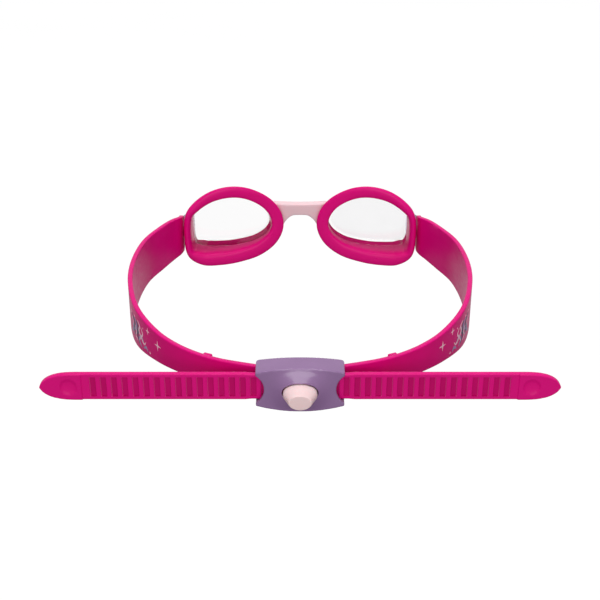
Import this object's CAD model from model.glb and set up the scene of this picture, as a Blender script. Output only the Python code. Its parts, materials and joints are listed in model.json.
"""Looks of the child's swim goggles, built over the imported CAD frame.

Shapes are worked out in the part's design frame: millimetres, X across the face, +Y from
the buckle towards the face, +Z up, origin on the outer face of the strap tails. place()
turns them into the row frame in metres. Pieces are shaped for the +X side and mirrored.
"""

import json
import math

import bmesh
import bpy
import numpy as np
from mathutils import Matrix, Vector


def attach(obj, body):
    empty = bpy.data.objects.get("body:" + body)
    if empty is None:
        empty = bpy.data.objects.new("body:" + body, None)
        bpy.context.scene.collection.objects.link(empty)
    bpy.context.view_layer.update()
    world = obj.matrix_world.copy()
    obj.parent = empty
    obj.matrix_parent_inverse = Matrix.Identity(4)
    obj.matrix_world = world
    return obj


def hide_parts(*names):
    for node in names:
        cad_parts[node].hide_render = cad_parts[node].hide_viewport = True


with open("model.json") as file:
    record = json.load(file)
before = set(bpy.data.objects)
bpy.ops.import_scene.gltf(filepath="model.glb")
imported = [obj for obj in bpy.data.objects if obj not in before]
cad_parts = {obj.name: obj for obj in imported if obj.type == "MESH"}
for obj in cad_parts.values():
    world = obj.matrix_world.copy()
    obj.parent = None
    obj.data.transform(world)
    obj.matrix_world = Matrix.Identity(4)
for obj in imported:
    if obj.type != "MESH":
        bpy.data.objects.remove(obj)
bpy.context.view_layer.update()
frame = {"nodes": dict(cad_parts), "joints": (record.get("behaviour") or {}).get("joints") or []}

# ---------- the design frame ----------

JOINTS = {joint["name"]: joint for joint in frame["joints"]}
HINGE = np.array(JOINTS["headband_swing"]["pos_m"], float)
HINGE_Y = 157.0
TILT_COS, TILT_SIN = JOINTS["button_press"]["axis"][1:]
GAP = 0.3


def place(points):
    """Design millimetres to row-frame metres."""
    p = np.asarray(points, float).reshape(-1, 3)
    y, z = p[:, 1] - HINGE_Y, p[:, 2]
    turned = np.stack([p[:, 0], y * TILT_COS - z * TILT_SIN, y * TILT_SIN + z * TILT_COS], 1)
    return turned / 1000 + HINGE


def turn(direction):
    """A design direction in the row frame."""
    x, y, z = direction
    return Vector((x, y * TILT_COS - z * TILT_SIN, y * TILT_SIN + z * TILT_COS))


# ---------- curves ----------


def smoothstep(low, high, value):
    t = np.clip((np.asarray(value, float) - low) / (high - low), 0, 1)
    return t * t * (3 - 2 * t)


def centripetal(points, closed=False, per=24):
    """Dense centripetal Catmull-Rom curve through the points."""
    p = np.asarray(points, float)
    count = len(p)
    if closed:
        around = [p[i % count] for i in range(-1, count + 2)]
    else:
        around = [2 * p[0] - p[1], *p, 2 * p[-1] - p[-2]]
    t = (np.arange(per) / per)[:, None]
    out = []
    for i in range(count if closed else count - 1):
        p0, p1, p2, p3 = around[i : i + 4]
        d0, d1, d2 = (
            max(np.linalg.norm(b - a), 1e-9) ** 0.5 for a, b in ((p0, p1), (p1, p2), (p2, p3))
        )
        m1 = ((p1 - p0) / d0 - (p2 - p0) / (d0 + d1) + (p2 - p1) / d1) * d1
        m2 = ((p2 - p1) / d1 - (p3 - p1) / (d1 + d2) + (p3 - p2) / d2) * d1
        h1, h2 = 2 * t**3 - 3 * t**2 + 1, t**3 - 2 * t**2 + t
        h3, h4 = -2 * t**3 + 3 * t**2, t**3 - t**2
        out.append(h1 * p1 + h2 * m1 + h3 * p2 + h4 * m2)
    out.append(p[:1] if closed else p[-1:])
    return np.vstack(out)


def along(curve, shares):
    """Points and unit tangents at shares of a dense curve's length."""
    steps = np.linalg.norm(np.diff(curve[:, :2], axis=0), axis=1)
    length = np.concatenate([[0], np.cumsum(steps)])
    where = np.asarray(shares, float) * length[-1]
    spots = np.stack([np.interp(where, length, curve[:, k]) for k in range(curve.shape[1])], 1)
    slope = np.gradient(curve, axis=0)
    tangent = np.stack([np.interp(where, length, slope[:, k]) for k in range(2)], 1)
    return spots, tangent / np.linalg.norm(tangent, axis=1)[:, None]


# ---------- meshes ----------


class Shape:
    """Vertices in design millimetres, and faces with a material number each."""

    def __init__(self):
        self.points, self.faces, self.inks = [], [], []

    def add(self, points, faces, ink=0):
        start = sum(len(p) for p in self.points)
        self.points.append(np.asarray(points, float).reshape(-1, 3))
        self.faces += [[i + start for i in face] for face in faces]
        self.inks += [ink] * len(faces)
        return self

    def loft(self, rings, closed=False, ink=0):
        """Skin over rings of equally many points; an open one gets flat ends."""
        rings = np.asarray(rings, float)
        count, size = rings.shape[:2]
        faces = []
        for ring in range(count if closed else count - 1):
            near, far = ring * size, (ring + 1) % count * size
            for side in range(size):
                nxt = (side + 1) % size
                faces.append([near + side, near + nxt, far + nxt, far + side])
        if not closed:
            faces.append(list(range(size))[::-1])
            faces.append([(count - 1) * size + side for side in range(size)])
        return self.add(rings.reshape(-1, 3), faces, ink)

    def prism(self, outline, start, end, axes=(0, 1, 2), ink=0):
        """Outline of (a, b) corners along two axes, drawn out along the third."""
        a, b, c = axes
        rings = np.zeros((2, len(outline), 3))
        rings[:, :, a] = [p[0] for p in outline]
        rings[:, :, b] = [p[1] for p in outline]
        rings[0, :, c], rings[1, :, c] = start, end
        return self.loft(rings, ink=ink)

    def box(self, low, high, ink=0):
        corners = [(low[0], low[1]), (high[0], low[1]), (high[0], high[1]), (low[0], high[1])]
        return self.prism(corners, low[2], high[2], ink=ink)

    def rod(self, radius, start, end, centre, axis, sides=64, ink=0):
        """Round bar along axis 0, 1 or 2, with its centre on the other two axes."""
        a, b = [k for k in range(3) if k != axis]
        ring = circle(radius, radius, sides) + np.asarray(centre, float)
        return self.prism(ring, start, end, (a, b, axis), ink)

    def mesh(self, name, mirror=False):
        data = bpy.data.meshes.new(name)
        points = np.vstack(self.points)
        if mirror:
            points = points * [-1, 1, 1]
        data.from_pydata(place(points).tolist(), [], self.faces)
        data.polygons.foreach_set("material_index", np.array(self.inks, np.int32))
        outward(data)
        return data


def circle(half_width, half_height, sides):
    angle = np.arange(sides) / sides * 2 * np.pi
    return np.stack([half_width * np.cos(angle), half_height * np.sin(angle)], 1)


def outward(data):
    """Makes every closed shell of the mesh face out."""
    bm = bmesh.new()
    bm.from_mesh(data)
    bmesh.ops.recalc_face_normals(bm, faces=bm.faces)
    bm.to_mesh(data)
    bm.free()


def new_object(name, data):
    obj = bpy.data.objects.new(name, data)
    bpy.context.scene.collection.objects.link(obj)
    return obj


def apply_modifiers(obj):
    graph = bpy.context.evaluated_depsgraph_get()
    data = bpy.data.meshes.new_from_object(obj.evaluated_get(graph))
    obj.modifiers.clear()
    obj.data = data


def combine(obj, shape, operation, mirror=False):
    """Joins a shape to the object, or cuts it away."""
    other = new_object("cutter", shape.mesh("cutter", mirror))
    for material in obj.data.materials:
        other.data.materials.append(material)
    step = obj.modifiers.new("combine", "BOOLEAN")
    step.operation, step.solver, step.object = operation, "EXACT", other
    apply_modifiers(obj)
    bpy.data.objects.remove(other)


def moulded(obj, voxel, passes):
    """Fine even skin with softened edges, as a moulding tool leaves them."""
    skin = obj.modifiers.new("skin", "REMESH")
    skin.mode, skin.voxel_size = "VOXEL", voxel / 1000
    soft = obj.modifiers.new("soft", "SMOOTH")
    soft.factor, soft.iterations = 0.5, passes
    apply_modifiers(obj)


def finish_piece(obj, body, nodes, materials, angle=42):
    if not obj.data.materials:
        for material in materials:
            obj.data.materials.append(material)
    obj.data.shade_smooth()
    obj.data.set_sharp_from_angle(angle=math.radians(angle))
    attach(obj, body)
    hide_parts(*nodes)
    return obj


def pair(name, shape, body, node, materials, angle=42, work=None):
    """The piece for the +X side and its mirror image."""
    for side, mirror in (("right", False), ("left", True)):
        obj = new_object(f"{name}_{side}", shape.mesh(f"{name}_{side}", mirror))
        for material in materials:
            obj.data.materials.append(material)
        if work:
            work(obj, mirror)
        finish_piece(obj, body, [f"{node}_{side}"], materials, angle)


# ---------- materials ----------


def nodes_of(name):
    material = bpy.data.materials.new(name)
    material.use_nodes = True
    tree = material.node_tree
    return material, tree, tree.nodes["Principled BSDF"]


def noise(tree, scale, detail=3.0, roughness=0.5, stretch=(1, 1, 1)):
    """Noise over the piece's own place; scale is in turns per metre."""
    coords = tree.nodes.new("ShaderNodeTexCoord")
    mapping = tree.nodes.new("ShaderNodeMapping")
    mapping.inputs["Scale"].default_value = stretch
    texture = tree.nodes.new("ShaderNodeTexNoise")
    texture.inputs["Scale"].default_value = scale
    texture.inputs["Detail"].default_value = detail
    texture.inputs["Roughness"].default_value = roughness
    tree.links.new(coords.outputs["Object"], mapping.inputs["Vector"])
    tree.links.new(mapping.outputs["Vector"], texture.inputs["Vector"])
    return texture.outputs["Fac"]


def ramp(tree, source, stops):
    """Colour ramp with (place, colour) stops."""
    node = tree.nodes.new("ShaderNodeValToRGB")
    elements = node.color_ramp.elements
    while len(elements) < len(stops):
        elements.new(0.5)
    for element, (where, colour) in zip(elements, stops):
        element.position = where
        element.color = (*colour, 1)
    tree.links.new(source, node.inputs["Fac"])
    return node.outputs["Color"]


def remap(tree, source, low, high, start=0.3, end=0.7):
    node = tree.nodes.new("ShaderNodeMapRange")
    node.inputs["From Min"].default_value = start
    node.inputs["From Max"].default_value = end
    node.inputs["To Min"].default_value = low
    node.inputs["To Max"].default_value = high
    tree.links.new(source, node.inputs["Value"])
    return node.outputs["Result"]


def bump(tree, shader, heights):
    """Stacked bumps of (source, distance in metres, strength)."""
    normal = None
    for source, distance, strength in heights:
        node = tree.nodes.new("ShaderNodeBump")
        node.inputs["Distance"].default_value = distance
        node.inputs["Strength"].default_value = strength
        tree.links.new(source, node.inputs["Height"])
        if normal:
            tree.links.new(normal, node.inputs["Normal"])
        normal = node.outputs["Normal"]
    tree.links.new(normal, shader.inputs["Normal"])


def shade(value):
    """sRGB 0-255 colour as linear."""
    return tuple(
        v / 255 / 12.92 if v < 10 else ((v / 255 + 0.055) / 1.055) ** 2.4 for v in value
    )


def rubbery(name, light, dark, rough, gloss=0.5, coat=0.0, soft=0.0):
    """Moulded silicone or plastic: cloudy colour, fine grain, slow flow marks."""
    material, tree, shader = nodes_of(name)
    cloud = noise(tree, 60, 4, 0.55)
    colour = ramp(tree, cloud, [(0.3, shade(dark)), (0.7, shade(light))])
    tree.links.new(colour, shader.inputs["Base Color"])
    smear = noise(tree, 240, 5, 0.6, (1, 1, 2.5))
    tree.links.new(remap(tree, smear, rough - 0.06, rough + 0.06), shader.inputs["Roughness"])
    shader.inputs["Specular IOR Level"].default_value = gloss
    shader.inputs["Coat Weight"].default_value = coat
    shader.inputs["Coat Roughness"].default_value = 0.12
    if soft:
        shader.inputs["Subsurface Weight"].default_value = soft
        shader.inputs["Subsurface Radius"].default_value = (1.0, 0.5, 0.5)
        shader.inputs["Subsurface Scale"].default_value = 0.0015
    grain = noise(tree, 3600, 2, 0.6)
    flow = noise(tree, 90, 2, 0.4)
    bump(tree, shader, [(flow, 0.0003, 0.12), (grain, 0.00003, 0.5)])
    return material


def clear_plastic(name, light, dark):
    """See-through plastic with a faint wave and fine scuffs in its polish."""
    material, tree, shader = nodes_of(name)
    tint = ramp(tree, noise(tree, 40), [(0.3, dark), (0.7, light)])
    tree.links.new(tint, shader.inputs["Base Color"])
    rough = remap(tree, noise(tree, 900, 6, 0.7), 0.015, 0.05)
    tree.links.new(rough, shader.inputs["Roughness"])
    shader.inputs["Transmission Weight"].default_value = 1.0
    shader.inputs["IOR"].default_value = 1.49
    bump(tree, shader, [(noise(tree, 70, 1), 0.00012, 0.08)])
    return material


def steel():
    """Drawn wire, streaked along its length."""
    material, tree, shader = nodes_of("spring_wire")
    cloud = noise(tree, 2500, 3, 0.6, (1, 6, 1))
    colour = ramp(tree, cloud, [(0.3, (0.45, 0.45, 0.47)), (0.7, (0.62, 0.62, 0.64))])
    tree.links.new(colour, shader.inputs["Base Color"])
    tree.links.new(remap(tree, cloud, 0.22, 0.38), shader.inputs["Roughness"])
    shader.inputs["Metallic"].default_value = 1.0
    bump(tree, shader, [(cloud, 0.00002, 0.4)])
    return material


MAGENTA = rubbery("magenta_silicone", (232, 2, 130), (225, 2, 124), 0.36, 0.17)
SEAL = rubbery("magenta_seal", (233, 2, 129), (226, 2, 123), 0.32, 0.14)
PURPLE = rubbery("purple_plastic", (150, 114, 160), (145, 109, 155), 0.16, 0.5)
BUTTON = rubbery("pale_button", (251, 221, 221), (248, 216, 216), 0.36, 0.3, 0.1, 0.12)
BRIDGE = rubbery("pale_bridge", (250, 217, 222), (246, 210, 216), 0.4, 0.3, 0.0, 0.15)
PLATE = rubbery("plate_plastic", (232, 205, 208), (224, 196, 200), 0.45)
PIN = rubbery("pin_plastic", (226, 198, 210), (216, 186, 200), 0.3, 0.4, 0.2, 0.2)
BEZEL = rubbery("bezel_magenta", (240, 6, 128), (232, 5, 122), 0.35, 0.2)
RIB_EDGE = rubbery("rib_edge_silicone", (238, 74, 152), (232, 66, 144), 0.36, 0.2)
RIB_FLOOR = rubbery("rib_floor_silicone", (206, 1, 110), (192, 1, 100), 0.42, 0.12)
STAR_INK = rubbery("print_pink", (255, 214, 228), (250, 200, 218), 0.5, 0.2)
LILAC_INK = rubbery("print_lilac", (176, 160, 196), (160, 146, 184), 0.5, 0.2)
GREY_INK = rubbery("print_grey", (104, 92, 118), (92, 82, 108), 0.5, 0.2)
CLEAR = clear_plastic("clear_polycarbonate", (0.94, 0.937, 0.94), (0.925, 0.922, 0.926))
SMOKY = clear_plastic("smoky_polycarbonate", (0.36, 0.27, 0.36), (0.3, 0.22, 0.31))
STEEL = steel()

# ---------- cups: seals and lenses ----------

CUP_OUTLINE = [
    (60.6, 0.6), (59.4, 12.4), (55, 18.4), (46.4, 24), (36.2, 26.2), (25.8, 24.6), (15.3, 18.5),
    (9.9, 10.8), (8.8, 2.6), (12.4, -5.5), (20.6, -12), (31.9, -15.5), (42.4, -16.7),
    (51.6, -16), (58.7, -11),
]
CUP_MIDDLE = np.array([35.5, 5.0])
CUP_STATIONS = 192
SEAL_FRONT_Y = 157.5
LENS_FLANGE_Y = SEAL_FRONT_Y + GAP
WINDOW_Y = 162.2
LENS_FRONT_Y = 164.2


def cup_stations():
    curve = centripetal(CUP_OUTLINE, closed=True, per=40)
    spots, tangent = along(curve, np.arange(CUP_STATIONS) / CUP_STATIONS)
    normal = np.stack([tangent[:, 1], -tangent[:, 0]], 1)
    facing = np.sign(np.sum(normal * (spots - CUP_MIDDLE), axis=1))
    return spots, normal * facing[:, None]


CUP_SPOTS, CUP_NORMALS = cup_stations()

# How far each station faces the temple, the cheek and the brow, and what follows from it:
# the seal's width, the lens flange's inset, and the lean of the lens side wall.
TEMPLE = np.maximum(0, CUP_NORMALS[:, 0]) ** 2
CHEEK = np.maximum(0, -CUP_NORMALS[:, 1]) ** 2
BROW = np.maximum(0, CUP_NORMALS[:, 1]) ** 2
FLANGE = 6.2 - 2.4 * TEMPLE + 1.0 * CHEEK
LENS_INSET = 1 + 2.2 * BROW + 0.9 * TEMPLE
LEAN = 1 - 0.85 * TEMPLE


def rim_y(x, z):
    return 150.5 - 0.15 * (x - CUP_MIDDLE[0]) + 0.09 * (z - CUP_MIDDLE[1])


def cup_ring(inset, y=None, share=None):
    """Ring set in from the outline, at depth y or at a share from the rim to the front."""
    spots = CUP_SPOTS - CUP_NORMALS * (np.zeros(CUP_STATIONS) + inset)[:, None]
    if share is not None:
        y = rim_y(*spots.T) * (1 - share) + SEAL_FRONT_Y * share
    return np.stack([spots[:, 0], np.zeros(CUP_STATIONS) + y, spots[:, 1]], 1)


def smooth_rings(rings, per):
    """Rings added between the given ones on a smooth curve."""
    flat = np.asarray(rings).reshape(len(rings), -1)
    return centripetal(flat, per=per).reshape(-1, CUP_STATIONS, 3)


def seal_shape():
    rings = smooth_rings([
        cup_ring(2.6, SEAL_FRONT_Y),
        cup_ring(1.9, share=0.7),
        cup_ring(0.3, share=0.36),
        cup_ring(0, share=0.2),
        cup_ring(0.6, share=0.06),
        cup_ring(FLANGE * 0.45, share=0),
        cup_ring(FLANGE - 1, share=0.05),
        cup_ring(FLANGE - 0.2, share=0.2),
        cup_ring(FLANGE + 0.2, SEAL_FRONT_Y),
    ], 5)
    return Shape().loft(rings, closed=True)


BEZEL_RINGS = (3, 8)
LENS_BEZEL, LENS_SMOKY = 1, 2  # material numbers on the lens


def lens_shape():
    """Clear shell; the outside of its side wall carries a coloured bezel band."""
    outer = [
        cup_ring(FLANGE + 1.2, LENS_FRONT_Y),
        cup_ring(FLANGE + 0.4, LENS_FRONT_Y),
        cup_ring(FLANGE + 0.02, LENS_FRONT_Y - 0.12),
        cup_ring(FLANGE - 0.22, LENS_FRONT_Y - 0.38),
        cup_ring(FLANGE - 0.32, LENS_FRONT_Y - 0.7),
        cup_ring(FLANGE - 1.0, LENS_FLANGE_Y + 2.5),
        cup_ring(FLANGE - 1.25, LENS_FLANGE_Y + 2.1),
        cup_ring(FLANGE - 1.7, LENS_FLANGE_Y + 2),
        cup_ring(LENS_INSET + 0.25, LENS_FLANGE_Y + 1.85),
        cup_ring(LENS_INSET + 0.05, LENS_FLANGE_Y + 1.7),
        cup_ring(LENS_INSET, LENS_FLANGE_Y + 1.5),
        cup_ring(LENS_INSET, LENS_FLANGE_Y + 0.2),
        cup_ring(LENS_INSET + 0.2, LENS_FLANGE_Y),
        cup_ring(FLANGE + 0.1, LENS_FLANGE_Y),
        cup_ring(FLANGE + 0.3, LENS_FLANGE_Y + 0.1),
        cup_ring(FLANGE + 0.3 + 1.05 * LEAN, WINDOW_Y - 0.8),
        cup_ring(FLANGE + 0.3 + 1.2 * LEAN, WINDOW_Y - 0.4),
        cup_ring(FLANGE + 0.4 + 1.3 * LEAN, WINDOW_Y - 0.15),
        cup_ring(FLANGE + 0.7 + 1.4 * LEAN, WINDOW_Y - 0.02),
        cup_ring(FLANGE + 1.2 + 1.4 * LEAN, WINDOW_Y),
    ]
    shape = Shape().loft(outer)
    band = range(BEZEL_RINGS[0] * CUP_STATIONS, BEZEL_RINGS[1] * CUP_STATIONS)
    for face in band:
        shape.inks[face] = LENS_BEZEL
    return shape


# Temple lug and its pin, and the tab that holds the nose bridge.
PIN_Y = HINGE_Y
PAD_X = 61.2
LUG_X = PAD_X + 2.7
LUG_THICK = 1.8
LUG_FRONT_Y, LUG_FRONT_THICK, LUG_CHAMFER = 163.1, 1.7, 1.8
LUG_ROOT = [(56.7, 9.8), (58.6, 9.8), (60.9, 6.1), (63.2, 4.2)]
LUG_ARM_HALF, LUG_LOBE_RADIUS, LUG_HOLE_RADIUS = 3, 4.2, 1.8
NOSE_TAB = ((6.6, 159.2, 8.6), (12, 160.8, 11.8))
NOSE_SOCKET = ((6.3, 158.9, 8.3), (16, 161.1, 12.1))


def lug_work(obj, mirror):
    """Adds the lug and the nose tab, opens the cup inside them, and bores the lug."""
    outer_x, end_y = LUG_X + LUG_THICK, LUG_FRONT_Y + LUG_FRONT_THICK
    slope = [(x, -z) for x, z in LUG_ROOT] + LUG_ROOT[::-1]
    elbow = [
        (LUG_X, PIN_Y), (outer_x, PIN_Y), (outer_x, end_y - 1.4 * LUG_CHAMFER),
        (outer_x - LUG_CHAMFER, end_y), (58.2, end_y), (58.2, LUG_FRONT_Y), (LUG_X, LUG_FRONT_Y),
    ]
    for lug in (
        Shape().prism(slope, LUG_FRONT_Y, end_y, (0, 2, 1), LENS_SMOKY),
        Shape().prism(elbow, -LUG_ARM_HALF, LUG_ARM_HALF, ink=LENS_SMOKY),
        Shape().rod(LUG_LOBE_RADIUS, LUG_X, outer_x, (PIN_Y, 0), 0, ink=LENS_SMOKY),
        Shape().box(*NOSE_TAB),
    ):
        combine(obj, lug, "UNION", mirror)
    cavity = Shape().loft([
        cup_ring(FLANGE + 0.3, LENS_FLANGE_Y - 2),
        cup_ring(FLANGE + 0.3, LENS_FLANGE_Y + 0.1),
        cup_ring(FLANGE + 0.3 + 1.2 * LEAN, WINDOW_Y - 0.4),
        cup_ring(FLANGE + 0.7 + 1.4 * LEAN, WINDOW_Y - 0.02),
    ])
    hole = Shape().rod(LUG_HOLE_RADIUS, LUG_X - 1, outer_x + 1, (PIN_Y, 0), 0)
    combine(obj, cavity, "DIFFERENCE", mirror)
    combine(obj, hole, "DIFFERENCE", mirror)


def pin_shape():
    """Snap pin, turned about X: domed head, shank, lip."""
    head_x, lip_x = PAD_X - 0.4, LUG_X + LUG_THICK + GAP
    profile = [
        (head_x - 1.2, 0.05), (head_x - 1.19, 2.4), (head_x - 1.1, 2.9), (head_x - 0.85, 3.25),
        (head_x - 0.5, 3.4), (head_x - 0.1, 3.38), (head_x, 3.25), (head_x, 1.6),
        (head_x + 0.1, 1.5), (lip_x - 0.05, 1.5), (lip_x, 1.85), (lip_x + 0.2, 1.9),
        (lip_x + 0.4, 1.75), (lip_x + 0.5, 1.4), (lip_x + 0.5, 0.05),
    ]
    rings = []
    for x, radius in profile:
        ring = circle(radius, radius, 48)
        rings.append(np.stack([np.full(48, x), PIN_Y + ring[:, 0], ring[:, 1]], 1))
    return Shape().loft(rings)


# ---------- nose bridge ----------


def quadratic(start, control, end, count=24):
    t = np.linspace(0, 1, count, endpoint=False)[:, None]
    a, b, c = (np.asarray(p, float) for p in (start, control, end))
    return (1 - t) ** 2 * a + 2 * t * (1 - t) * b + t**2 * c


def bridge_shape():
    """Arch seen from behind, drawn from front to back."""
    top, arch = 14.5, 8.2
    outline = np.vstack([
        quadratic((-14, top + 0.6), (0, top - 0.6), (14, top + 0.6), 48),
        quadratic((14, top + 0.6), (14, 6), (14, -1.5), 4),
        quadratic((14, -1.5), (9.4, 1.2), (8.2, 3.8)),
        quadratic((8.2, 3.8), (5.6, arch), (2.2, arch)),
        quadratic((2.2, arch), (0, arch), (-2.2, arch), 8),
        quadratic((-2.2, arch), (-5.6, arch), (-8.2, 3.8)),
        quadratic((-8.2, 3.8), (-9.4, 1.2), (-14, -1.5)),
        quadratic((-14, -1.5), (-14, 6), (-14, top + 0.6), 4),
    ])
    return Shape().prism(outline, 157.8, 162.2, (0, 2, 1))


def make_bridge():
    obj = new_object("nose_piece", bridge_shape().mesh("nose_piece"))
    keep_out = Shape().loft([
        cup_ring(LENS_INSET - GAP, 156), cup_ring(LENS_INSET - GAP, 164),
    ])
    socket = Shape().box(*NOSE_SOCKET)
    for mirror in (False, True):
        combine(obj, keep_out, "DIFFERENCE", mirror)
        combine(obj, socket, "DIFFERENCE", mirror)
    moulded(obj, 0.2, 70)
    finish_piece(obj, "goggle_front", ["nose_bridge"], [BRIDGE], 70)


# ---------- straps ----------

THICK = 2.3
TAIL_HALF = 5.85
TAIL_EXTRA, TAIL_EXTRA_FROM, TAIL_EXTRA_FULL = 0.27, 19.5, 23
TIP_X, TIP_START, TIP_HALF = 106.6, 89.6, 6.12
DIMPLE_X, DIMPLE_RADIUS, DIMPLE_DEPTH = 94.8, 3.6, 0.9
POCKET_PITCH, POCKET_LENGTH, POCKET_DEPTH, POCKET_HALF = 4.38, 2.5, 0.7, 4.5
POCKET_ENDS = 20.4 + POCKET_PITCH * np.arange(-2, 16)
WRAP_X, INCOMING_Y = 7.6, 4.85
PAD_END_Y, PAD_CORNER, PAD_HALF = PIN_Y + 4.5, 8.5, 9.6
EDGE = 0.5
EYELET_RADIUS = 1.9
STOP_BUMP = {"centre": (38.9, 16.6, 0), "size": (4, 2.2, 12), "turn_by": 0.43, "radius": 0.5}

# Material numbers on the strap, and how far the print stands proud of it.
INK_STAR, INK_LILAC, INK_GREY, INK_RIB_EDGE, INK_RIB_FLOOR = 1, 2, 3, 4, 5
RIB_EDGE_WIDTH, POCKET_ROW = 0.33, 0.815
PRINT_UNDER, STAR_PROUD, SWIRL_PROUD, SWIRL_STEP = -0.05, 0.09, 0.03, 0.004

# The loop's middle line from buckle to temple, with half heights.
LOOP_ROUTE = [
    (13.2, 6, 5.85), (19.2, 8, 5.85), (25.2, 9.6, 5.95), (33.8, 12.3, 6.1), (42.8, 16.8, 6.25),
    (52, 23.6, 6.5), (61.5, 33.3, 7.4), (72.4, 51, 9.7), (78.4, 74, 11.3), (79.8, 96, 11.6),
    (77, 119.4, 11.65), (71, 135, 11.6), (66.3, 145, 11.1), (63.5, 149.6, 10.5),
    (62.35, 152.4, 9.9),
]


def tail_columns():
    """Places along the tail, close together where the surface turns."""
    spots = [TIP_X - (TIP_X - TIP_START) * (1 - a) for a in
             (1, 0.9985, 0.995, 0.988, 0.975, 0.955, 0.93, 0.9, 0.86, 0.82, 0.77, 0.72, 0.66)]
    spots += list(np.arange(91, 98.8, 0.24))
    spots += [TIP_START + d for d in (0.7, 0.3, 0.1, 0, -0.1, -0.3, -0.45, -0.6, -1.2, -2.4)]
    for end in POCKET_ENDS:
        start = end - POCKET_LENGTH
        spots += [start + d for d in (-0.5, -0.2, -0.08, 0, 0.06, 0.14, 0.25, 0.5, 0.9)]
        spots += [end + d for d in (-0.9, -0.5, -0.25, -0.14, -0.06, 0, 0.08, 0.2)]
    spots += [WRAP_X]
    return np.array(sorted(set(np.round([x for x in spots if x >= WRAP_X], 3)), reverse=True))


def tip_half(x):
    share = np.maximum(0, (x - TIP_START) / (TIP_X - TIP_START))
    return TIP_HALF * (1 - np.minimum(1, share) ** 3.2) ** 0.62


def tail_depth(x, z):
    """How far the outer face of the tail is sunk at x, z."""
    depth = np.zeros_like(z)
    for end in POCKET_ENDS:
        start = end - POCKET_LENGTH
        inside = np.minimum(np.minimum(x - start, (end - x) * 0.5), POCKET_HALF - np.abs(z))
        slope = 0.75 + 0.25 * np.clip((x - start) / POCKET_LENGTH, 0, 1)
        depth = np.maximum(depth, POCKET_DEPTH * slope * smoothstep(-0.07, 0.17, inside))
    reach = ((x - DIMPLE_X) ** 2 + z**2) / DIMPLE_RADIUS**2
    bowl = DIMPLE_DEPTH * np.sqrt(np.clip(1 - reach, 0, 1))
    return np.maximum(depth, bowl * smoothstep(1.02, 0.8, reach))


# Heights of the outer face's rows, as shares of the flat's half height.
ROWS = np.array(
    [1, 0.95, 0.9, 0.865, 0.85, 0.84, 0.828, 0.815, 0.8, 0.77, 0.7, 0.58, 0.44, 0.3, 0.15]
)
ROWS = np.concatenate([ROWS, [0], -ROWS[::-1]])


def strip_ring(x, y, across, half, thick=THICK, lift=0.0, sunk=None):
    """Section of the strap: outer face, rounded edges, inner face."""
    edge = min(EDGE, half * 0.45, thick * 0.3)
    out, back = thick / 2 + lift, -thick / 2 + lift
    z = ROWS * (half - edge)
    face = np.full(len(z), out) - (sunk(z) if sunk else 0)
    quarter = np.radians([22.5, 45, 67.5, 90])
    points = [(a, b) for a, b in zip(face, z)]
    points += [(out - edge + edge * math.cos(q), -half + edge - edge * math.sin(q))
               for q in quarter]
    points += [(back + edge - edge * math.sin(q), -half + edge - edge * math.cos(q))
               for q in [0, *quarter]]
    points += [(back, b) for b in np.linspace(-0.9, 0.9, 7) * (half - edge)]
    points += [(back + edge - edge * math.cos(q), half - edge + edge * math.sin(q))
               for q in [0, *quarter]]
    points += [(out - edge + edge * math.sin(q), half - edge + edge * math.cos(q))
               for q in quarter[:3]]
    points = np.array(points)
    ring = np.zeros((len(points), 3))
    ring[:, 0] = x + across[0] * points[:, 0]
    ring[:, 1] = y + across[1] * points[:, 0]
    ring[:, 2] = points[:, 1]
    return ring


def tail_rings():
    rings = []
    for x in tail_columns():
        half = TAIL_HALF + TAIL_EXTRA * float(smoothstep(TAIL_EXTRA_FROM, TAIL_EXTRA_FULL, x))
        if x > TIP_START - 0.2:
            half = max(0.45, float(tip_half(x)))
        lift = 0.25 * float(smoothstep(TIP_START - 0.4, TIP_START, x))
        sunk = lambda z, x=x: tail_depth(x, z)
        rings.append(strip_ring(x, THICK / 2, (0, -1), half, THICK + 2 * lift, lift, sunk))
    return rings


def wrap_rings():
    radius, middle = INCOMING_Y / 2, THICK / 2 + INCOMING_Y / 2
    rings = []
    for angle in np.linspace(0, np.pi, 18)[1:]:
        across = (-math.sin(angle), -math.cos(angle))
        rings.append(strip_ring(
            WRAP_X + across[0] * radius, middle + across[1] * radius, across, TAIL_HALF
        ))
    return rings


LOOP_CURVE = centripetal(LOOP_ROUTE, per=40)


def loop_frame(shares):
    spots, tangent = along(LOOP_CURVE, shares)
    across = np.stack([-tangent[:, 1], tangent[:, 0]], 1)
    across[0], across[-1] = (0, 1), (-1, 0)
    return spots, across


def loop_rings():
    spots, across = loop_frame(np.linspace(0, 1, 150))
    return [strip_ring(x, y, side, half) for (x, y, half), side in zip(spots, across)]


def pad_rings():
    start = LOOP_ROUTE[-1][1]
    corner = PAD_END_Y - PAD_CORNER
    rings = []
    places = [start + 1.2, start + 2.4]
    turns = np.radians([8, 20, 32, 44, 56, 68, 78, 86])
    places += [corner + PAD_CORNER * math.sin(a) for a in turns]
    for y in places:
        into = max(0, y - corner)
        drop = PAD_CORNER - math.sqrt(PAD_CORNER**2 - into**2)
        rings.append(strip_ring(PAD_X + THICK / 2, y, (-1, 0), PAD_HALF - drop))
    rings.append(strip_ring(PAD_X + THICK / 2, PAD_END_Y, (-1, 0), PAD_HALF - PAD_CORNER, 1.7))
    return rings


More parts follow.
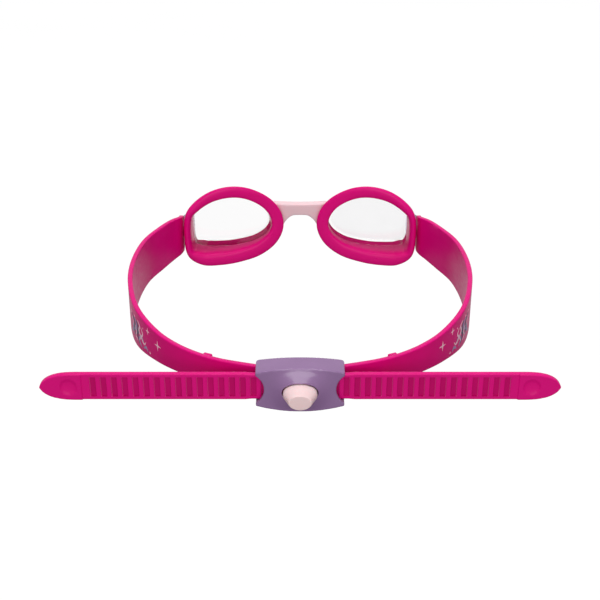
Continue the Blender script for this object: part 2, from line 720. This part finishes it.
def rounded_block(shape, centre, size, turn_by, radius):
    """Block with rounded edges, turned about Z."""
    bm = bmesh.new()
    bmesh.ops.create_cube(bm, size=1)
    bmesh.ops.scale(bm, vec=Vector(size), verts=bm.verts)
    bmesh.ops.bevel(bm, geom=bm.edges, offset=radius, segments=4, profile=0.5, affect="EDGES")
    bmesh.ops.rotate(bm, cent=(0, 0, 0), matrix=Matrix.Rotation(turn_by, 3, "Z"), verts=bm.verts)
    bmesh.ops.translate(bm, vec=Vector(centre), verts=bm.verts)
    bm.verts.index_update()
    shape.add([v.co[:] for v in bm.verts], [[v.index for v in f.verts] for f in bm.faces])
    bm.free()


def on_strap(share, z, proud):
    """Point on the printed outer face of the loop."""
    spots, across = loop_frame(np.concatenate([[0], np.atleast_1d(share), [1]]))
    spots, across = spots[1:-1], across[1:-1]
    out = -(THICK / 2 + proud)
    return np.stack([
        spots[:, 0] + across[:, 0] * out, spots[:, 1] + across[:, 1] * out, np.asarray(z),
    ], 1)


LOOP_LENGTH = float(np.sum(np.linalg.norm(np.diff(LOOP_CURVE[:, :2], axis=0), axis=1)))


def print_patch(shape, outline, ink, proud):
    """A flat printed patch: outline of (millimetres along the loop, height) corners."""
    outline = np.asarray(outline, float)
    middle = outline.mean(0)
    inner = middle + (outline - middle) * 0.5
    count = len(outline)
    points, faces = [], []
    for level in (proud, PRINT_UNDER):
        for ring in (outline, inner, middle[None]):
            points.append(on_strap(ring[:, 0] / LOOP_LENGTH, ring[:, 1], level))
    top, low = 0, 2 * count + 1
    for i in range(count):
        j = (i + 1) % count
        faces.append([top + i, top + j, top + count + j, top + count + i])
        faces.append([top + count + i, top + count + j, top + 2 * count])
        faces.append([low + j, low + i, low + count + i, low + count + j])
        faces.append([low + count + j, low + count + i, low + 2 * count])
        faces.append([top + j, top + i, low + i, low + j])
    shape.add(np.vstack(points), faces, ink)


def star(centre, reach):
    """Four-pointed star with pinched sides."""
    points = []
    for k in range(16):
        angle = k * math.pi / 8
        radius = (1, 0.34, 0.2, 0.34)[k % 4] * reach
        points.append((centre[0] + radius * math.sin(angle), centre[1] + radius * math.cos(angle)))
    return points


def ribbon(points, width):
    """Outline of a tapering brush stroke through the points."""
    curve = centripetal([(*p, 0.0) for p in points], per=6)[:, :2]
    slope = np.gradient(curve, axis=0)
    side = np.stack([-slope[:, 1], slope[:, 0]], 1)
    side /= np.linalg.norm(side, axis=1)[:, None]
    taper = np.sin(np.linspace(0.12, math.pi - 0.12, len(curve)))[:, None] ** 0.7 * width / 2
    return curve + side * taper, curve - side * taper


def print_stroke(shape, points, width, ink, proud):
    """A printed brush stroke through (millimetres along the loop, height) points."""
    left, right = ribbon(points, width)
    count = len(left)
    rows = []
    for level in (proud, PRINT_UNDER):
        for line in (left, right):
            rows.append(on_strap(line[:, 0] / LOOP_LENGTH, line[:, 1], level))
    a, b, c, d = 0, count, 2 * count, 3 * count
    faces = []
    for i in range(count - 1):
        faces.append([a + i, a + i + 1, b + i + 1, b + i])
        faces.append([d + i, d + i + 1, c + i + 1, c + i])
        faces.append([c + i, c + i + 1, a + i + 1, a + i])
        faces.append([b + i, b + i + 1, d + i + 1, d + i])
    faces.append([a, b, d, c])
    faces.append([a + count - 1, c + count - 1, d + count - 1, b + count - 1])
    shape.add(np.vstack(rows), faces, ink)


# Stars and swirls printed on the loop: (millimetres along it, height).
STARS = [
    ((55.6, 1.15), 2.5), ((63.7, 4.7), 1.8), ((78.9, 5.15), 0.8), ((68.6, 3.9), 0.5),
    ((62.6, -5.6), 0.9), ((84.8, 4.9), 0.8),
]
SWIRLS = [
    (INK_GREY, 2.4, [(83.4, 4.6), (79.4, 1.8), (80.6, -2.4), (77.6, -5.2)]),
    (INK_GREY, 2.2, [(76.4, 4.2), (74.2, 1.2), (75.6, -2.6), (73, -6)]),
    (INK_LILAC, 1.8, [(84.4, 1.6), (82, -1.4), (84, -4.4), (86, -5)]),
    (INK_LILAC, 1.7, [(79.8, 4.6), (76.6, 2.6), (77.6, -0.8), (80.4, -1.8)]),
    (INK_LILAC, 1.6, [(71.2, -6.6), (73.4, -4), (70.8, -1.4), (68.4, -3.6)]),
    (INK_STAR, 1.2, [(74.8, 5.2), (72.2, 3.4), (73.4, 0.6), (71.6, -1.8), (73.4, -4.4)]),
    (INK_STAR, 1.1, [(70.8, 3.2), (69.2, 0.6), (70.6, -1.6), (68, -3.8), (66, -2)]),
    (INK_STAR, 1.0, [(84.6, 2.6), (82.6, 0.4), (83.8, -2.2)]),
    (INK_STAR, 0.9, [(79.2, 0.8), (76.8, -1.6), (78.4, -4.2), (75.8, -5.6)]),
    (INK_LILAC, 1.3, [(68.6, -6), (66.2, -4.6), (64.4, -6)]),
]


def strap_shape():
    rings = tail_rings() + wrap_rings() + loop_rings() + pad_rings()
    shape = Shape().loft(rings)
    columns, size = tail_columns(), len(rings[0])
    pocket_rows = np.flatnonzero(np.abs(ROWS[1:] + ROWS[:-1]) / 2 < POCKET_ROW)
    for ring, x in enumerate((columns[1:] + columns[:-1]) / 2):
        before_end = np.min(np.where(POCKET_ENDS > x, POCKET_ENDS - x, POCKET_LENGTH))
        if before_end < POCKET_LENGTH:
            ink = INK_RIB_EDGE if before_end < RIB_EDGE_WIDTH else INK_RIB_FLOOR
            for row in pocket_rows:
                shape.inks[ring * size + row] = ink
    rounded_block(shape, **STOP_BUMP)
    for centre, reach in STARS:
        print_patch(shape, star(centre, reach), INK_STAR, STAR_PROUD)
    for number, (ink, width, points) in enumerate(SWIRLS):
        print_stroke(shape, points, width, ink, SWIRL_PROUD + SWIRL_STEP * number)
    return shape


def strap_work(obj, mirror):
    eyelet = Shape().rod(EYELET_RADIUS, PAD_X - 2, PAD_X + 4, (PIN_Y, 0), 0)
    combine(obj, eyelet, "DIFFERENCE", mirror)


# ---------- buckle ----------

HALF_WIDTH = 18.2
COVER_WALL = 1.7
CORNER = 1.3
COVER_HALF_HEIGHT, COVER_CROWN = 7.9, 2.4
COVER_EDGE_Y, COVER_EDGE_BOW = -2.3, 0.5
COVER_BACK_Y, COVER_BACK_BOW = 6.9, 1.8
DOME_RISE, DOME_HALF_WIDTH, DOME_FALL = 4.3, 15.5, 1.6
NOTCH_RADIUS, NOTCH_DEPTH = 7.7, 3.4
BUTTON_HOLE = (7.4, 4.75)


def cover_half(x):
    return COVER_HALF_HEIGHT + COVER_CROWN * (1 - (x / HALF_WIDTH) ** 2)


def cover_face(x, share):
    """Depth of the domed face at x, and at a share of the half height."""
    edge = COVER_EDGE_Y - COVER_EDGE_BOW * (1 - (x / HALF_WIDTH) ** 2)
    rise = DOME_RISE * math.cos(min(1.0, abs(x) / DOME_HALF_WIDTH) * math.pi / 2) ** 2
    return edge - rise * (1 - share * share) ** DOME_FALL


def cover_ring(x):
    half = cover_half(x)
    into = min(CORNER, max(0.0, abs(x) - (HALF_WIDTH - CORNER)))
    back = COVER_BACK_Y + COVER_BACK_BOW * (x / HALF_WIDTH) ** 2
    back += math.sqrt(CORNER**2 - into**2) - CORNER
    shares = np.linspace(1, -1, 49)
    outer = [(x, cover_face(x, s), s * half) for s in shares]
    inner = [(x, cover_face(x, s) + COVER_WALL, s * (half - COVER_WALL)) for s in shares[::-1]]
    low, high = -half + COVER_WALL, half - COVER_WALL
    return [(x, back, half), *outer, (x, back, -half), (x, back, low), *inner, (x, back, high)]


def make_cover():
    ends = np.array([0, 0.1, 0.3, 0.6, 0.9, 1.1, 1.3])
    stations = np.concatenate([
        -HALF_WIDTH + ends, np.linspace(-16.5, 16.5, 67), (HALF_WIDTH - ends)[::-1],
    ])
    shape = Shape().loft([cover_ring(x) for x in stations])
    obj = new_object("buckle_shell", shape.mesh("buckle_shell"))
    notch = Shape().rod(
        NOTCH_RADIUS, -9, 1, (HALF_WIDTH - NOTCH_DEPTH + NOTCH_RADIUS, 0), 1, 128,
    )
    for mirror in (False, True):
        combine(obj, notch, "DIFFERENCE", mirror)
    hole = Shape().prism(circle(*BUTTON_HOLE, 96), -14, 0, (0, 2, 1))
    combine(obj, hole, "DIFFERENCE")
    moulded(obj, 0.18, 44)
    finish_piece(obj, "headband", ["buckle_cover"], [PURPLE], 70)


def make_button():
    """Lofted button with its lugs and stem; rings are (half width, half height, y)."""
    rings = [
        (2.2, 1.5, -12.5), (4.1, 3.0, -12.5), (4.42, 3.22, -12.46), (4.64, 3.36, -12.34),
        (4.82, 3.46, -12.1), (4.98, 3.54, -11.7), (5.17, 3.62, -11.2), (5.5, 3.74, -10.4),
        (5.9, 3.88, -9.5), (6.3, 4.04, -8.6), (6.7, 4.2, -7.6), (6.95, 4.31, -6.9),
        (7.0, 4.35, -6.2), (7.0, 4.35, -2.1), (6.9, 4.25, -1.9),
    ]
    shape = Shape().loft([
        [(u, y, v) for u, v in circle(a, b, 96)] for a, b, y in rings
    ])
    obj = new_object("press_button", shape.mesh("press_button"))
    combine(obj, Shape().box((-3, -2.8, -6.2), (3, -1.9, 6.2)), "UNION")
    for radius, start, end in ((3.2, -2.9, 7.15), (2.7, -1.9, 9.35), (3.1, 8.85, 9.25)):
        combine(obj, Shape().rod(radius, start, end, (0, 0), 1), "UNION")
    combine(obj, Shape().rod(2.1, -4, 11, (0, 0), 1), "DIFFERENCE")
    finish_piece(obj, "release", ["push_button"], [BUTTON], 40)


def softened(name, node, voxel, passes, body, material, cuts=()):
    """A CAD node's own shape with moulded edges, less the cuts' (low, high) boxes."""
    obj = new_object(name, frame["nodes"][node].data.copy())
    obj.data.materials.clear()
    for low, high in cuts:
        combine(obj, Shape().box(low, high), "DIFFERENCE")
    moulded(obj, voxel, passes)
    finish_piece(obj, body, [node], [material], 70)


def make_spring():
    """Coil, short enough to stay clear of its seat when the button is pressed."""
    radius, wire, turns, start, end = 1.55, 0.22, 8, -3.45, 8.8
    section = np.arange(10) * math.pi / 5
    reach = radius + wire * np.cos(section)
    rings = []
    for share in np.linspace(0, 1, turns * 24 + 1):
        angle = share * turns * 2 * math.pi
        rings.append(np.stack([
            reach * math.cos(angle),
            start + (end - start) * share + wire * np.sin(section),
            reach * math.sin(angle),
        ], 1))
    obj = new_object("spring_coil", Shape().loft(rings).mesh("spring_coil"))
    finish_piece(obj, "release", ["return_spring"], [STEEL], 50)


# ---------- assembly ----------

pair("face_seal", seal_shape(), "goggle_front", "seal", [SEAL], 50)
pair("lens_shell", lens_shape(), "goggle_front", "lens", [CLEAR, BEZEL, SMOKY], 35,
     lug_work)
pair("snap_pin", pin_shape(), "goggle_front", "strap_pin", [PIN], 50)
make_bridge()
pair(
    "strap_band", strap_shape(), "headband", "strap",
    [MAGENTA, STAR_INK, LILAC_INK, GREY_INK, RIB_EDGE, RIB_FLOOR], 45, strap_work,
)
make_cover()
# Trims that keep the plate against the head out of sight behind the cover.
PLATE_EDGES = [((-12, 9.2, 6.5), (12, 13, 9)), ((-12, 9.2, -9), (12, 13, -6.5))]
softened(
    "buckle_frame", "buckle_base", 0.2, 4, "headband", PURPLE, PLATE_EDGES,
)
make_button()
softened("lock_slider", "locking_plate", 0.16, 3, "release", PLATE)
make_spring()

# ---------- camera, floor and light ----------

PITCH = math.radians(27.5)
CAMERA = (0, -402.6, 249.7)
FLOOR_DROP = 0.075  # clears the headband at the low end of its swing
FLOOR_HALF = 40.0


def make_camera():
    data = bpy.data.cameras.new("camera")
    data.lens, data.sensor_width = 69.3, 36
    data.shift_x = -0.1 / 600
    data.clip_start, data.clip_end = 0.01, 100
    camera = new_object("camera", data)
    back = turn((0, -math.cos(PITCH), math.sin(PITCH)))
    up = turn((0, math.sin(PITCH), math.cos(PITCH)))
    axes = Matrix((Vector((1, 0, 0)), up, back)).transposed()
    camera.matrix_world = Matrix.Translation(Vector(place(CAMERA)[0])) @ axes.to_4x4()
    bpy.context.scene.camera = camera


def make_floor():
    data = bpy.data.meshes.new("floor")
    corners = [(x * FLOOR_HALF, y * FLOOR_HALF, -FLOOR_DROP)
               for x, y in ((-1, -1), (1, -1), (1, 1), (-1, 1))]
    data.from_pydata(corners, [], [(0, 1, 2, 3)])
    floor = new_object("floor", data)
    material, tree, shader = nodes_of("studio_floor")
    paper = noise(tree, 3, 3)
    tree.links.new(
        ramp(tree, paper, [(0.3, (0.1, 0.1, 0.1)), (0.7, (0.12, 0.12, 0.12))]),
        shader.inputs["Base Color"],
    )
    shader.inputs["Roughness"].default_value = 0.9
    shader.inputs["Specular IOR Level"].default_value = 0.1
    shader.inputs["Emission Color"].default_value = (1, 1, 1, 1)
    shader.inputs["Emission Strength"].default_value = 0.92
    data.materials.append(material)
    floor.visible_diffuse = False
    floor.visible_glossy = False


def make_light(name, at, towards, width, height, power):
    data = bpy.data.lights.new(name, "AREA")
    data.shape = "RECTANGLE"
    data.size, data.size_y = width, height
    data.energy = power
    light = new_object(name, data)
    light.location = Vector(at)
    light.rotation_mode = "QUATERNION"
    light.rotation_quaternion = (Vector(towards) - Vector(at)).to_track_quat("-Z", "Y")


def blend(tree, factor, colour, grey):
    """Mixes a plain grey over a colour."""
    mix = tree.nodes.new("ShaderNodeMix")
    mix.data_type = "RGBA"
    mix.inputs["B"].default_value = (grey, grey, grey, 1)
    tree.links.new(factor, mix.inputs["Factor"])
    tree.links.new(colour, mix.inputs["A"])
    return mix.outputs["Result"]


def make_world():
    """Dim studio, brighter overhead, with a pale backdrop ahead and some fill behind."""
    world = bpy.data.worlds.new("studio")
    world.use_nodes = True
    tree = world.node_tree
    background = tree.nodes["Background"]
    coords = tree.nodes.new("ShaderNodeTexCoord")
    parts = tree.nodes.new("ShaderNodeSeparateXYZ")
    tree.links.new(coords.outputs["Generated"], parts.inputs["Vector"])
    height = remap(tree, parts.outputs["Z"], 0, 1, -1, 1)
    sky = ramp(tree, height, [
        (0.0, (0.16, 0.16, 0.17)), (0.48, (0.2, 0.2, 0.21)), (0.54, (0.42, 0.42, 0.43)),
        (0.9, (0.46, 0.46, 0.46)), (1.0, (0.75, 0.75, 0.75)),
    ])
    backdrop = blend(tree, remap(tree, parts.outputs["Y"], 0, 0.9, 0.45, 0.95), sky, 0.95)
    fill = blend(tree, remap(tree, parts.outputs["Y"], 0.8, 0, -1.0, -0.4), backdrop, 0.8)
    tree.links.new(fill, background.inputs["Color"])
    background.inputs["Strength"].default_value = 0.95
    bpy.context.scene.world = world


make_camera()
make_floor()
make_world()
make_light("overhead", (0.0, 0.02, 1.0), (0, 0, 0), 0.56, 0.36, 4.3)
make_light("front_box", (0.0, -0.97, 0.36), (0, -0.09, 0.02), 0.56, 0.42, 2.6)
bpy.context.scene.view_settings.view_transform = "Standard"
